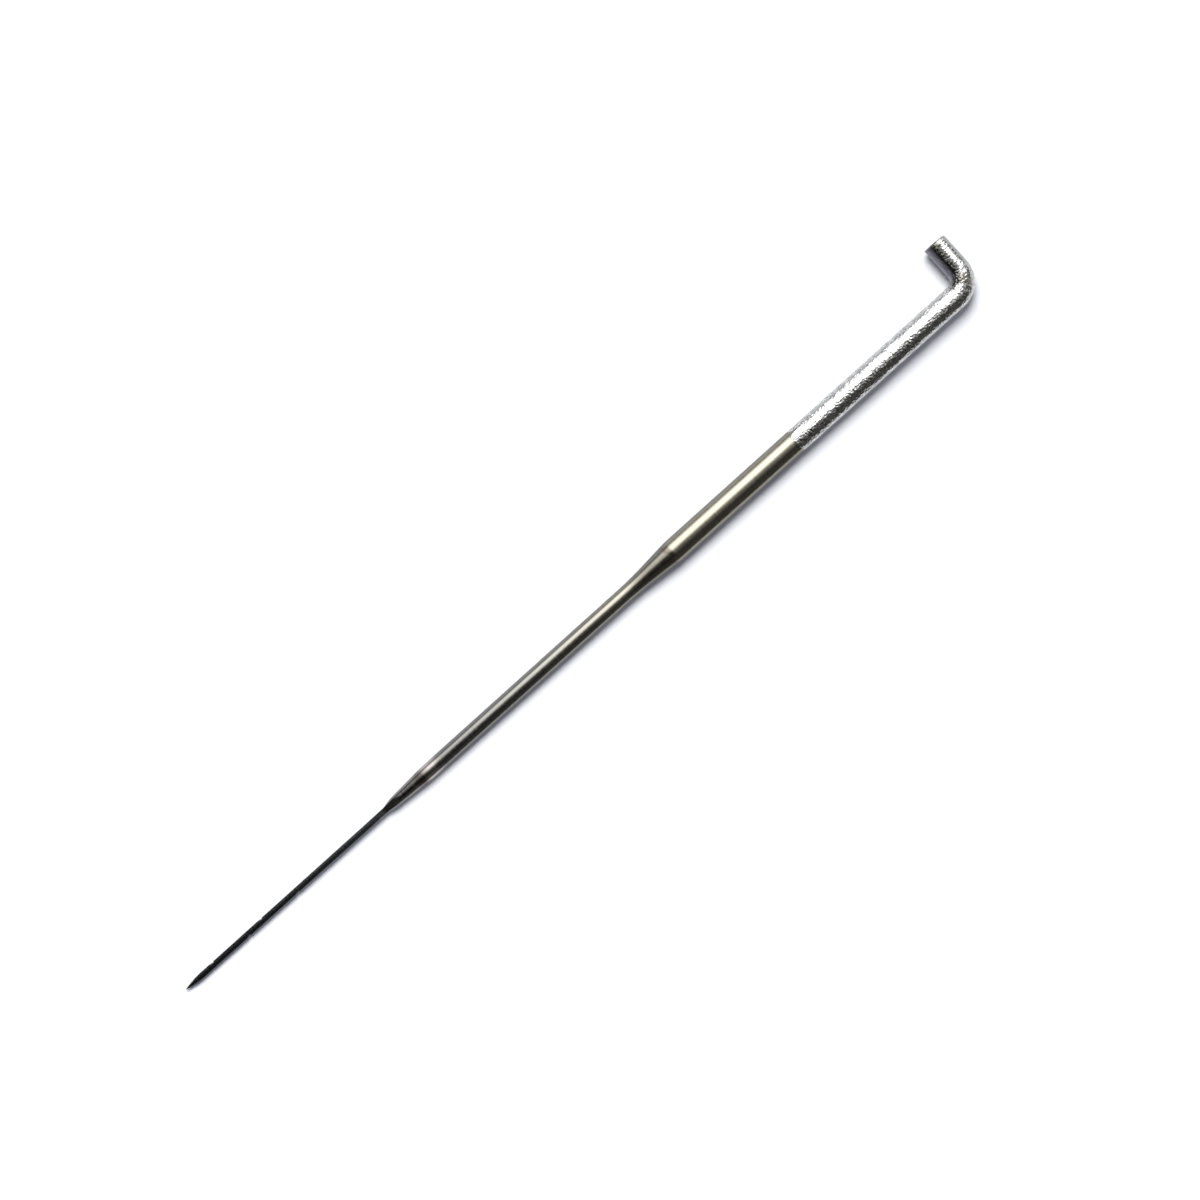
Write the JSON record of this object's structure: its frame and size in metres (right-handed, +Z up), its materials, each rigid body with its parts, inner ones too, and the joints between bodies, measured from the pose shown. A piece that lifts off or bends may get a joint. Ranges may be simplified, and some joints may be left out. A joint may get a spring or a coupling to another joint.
{
  "type": "felting needle",
  "caption": "Felting needle: a stepped, barbed three-sided steel blade on a round shank that is bent over into a crank, with a silver dip coat over the crank and upper shank.",
  "frame": {"origin": "on the shank's axis where the straight wire ends and the crank's bend begins, which is where the top face of a holder comes", "axes": "the needle lies flat: +X along the shank from the point towards the crank, +Y the way the crank's leg points, +Z up off the table"},
  "size_m": [0.078, 0.0049, 0.0018],
  "materials": {
    "steel": "bright drawn carbon steel wire, swaged and polished, faint rings round the cones",
    "silver_coat": "silver dip coat, glossy and finely lumpy"
  },
  "bodies": {
    "root": {"steel_needle": "steel", "dip_coat": "silver_coat"}
  },
  "joints": []
}
